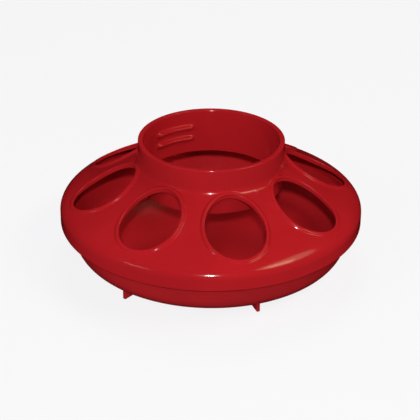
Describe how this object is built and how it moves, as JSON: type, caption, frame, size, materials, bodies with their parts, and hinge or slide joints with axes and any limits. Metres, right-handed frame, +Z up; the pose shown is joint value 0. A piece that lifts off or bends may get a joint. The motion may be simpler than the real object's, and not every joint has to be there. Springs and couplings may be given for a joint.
{
  "type": "gravity poultry feeder",
  "caption": "Round red plastic gravity feeder base: threaded jar collar on a domed cover with lipped feed holes, over a shallow pan on fin feet.",
  "frame": {"origin": "on the feeder's axis, at the height of the undersides of the feet", "axes": "+Z up along the axis through the jar collar, -Y towards the front, 12.6 degrees from the nearest feed hole"},
  "size_m": [0.16, 0.16, 0.0659],
  "materials": {
    "cover_plastic": "gloss",
    "pan_plastic": "gloss"
  },
  "bodies": {
    "pan": {"feed_pan": "pan_plastic"},
    "cover": {"feeder_cover": "cover_plastic"}
  },
  "joints": [
    {"name": "cover_lift", "type": "slide", "parent": "pan", "child": "cover", "axis": [0, 0, 1], "range_m": [0, 0.06]}
  ]
}
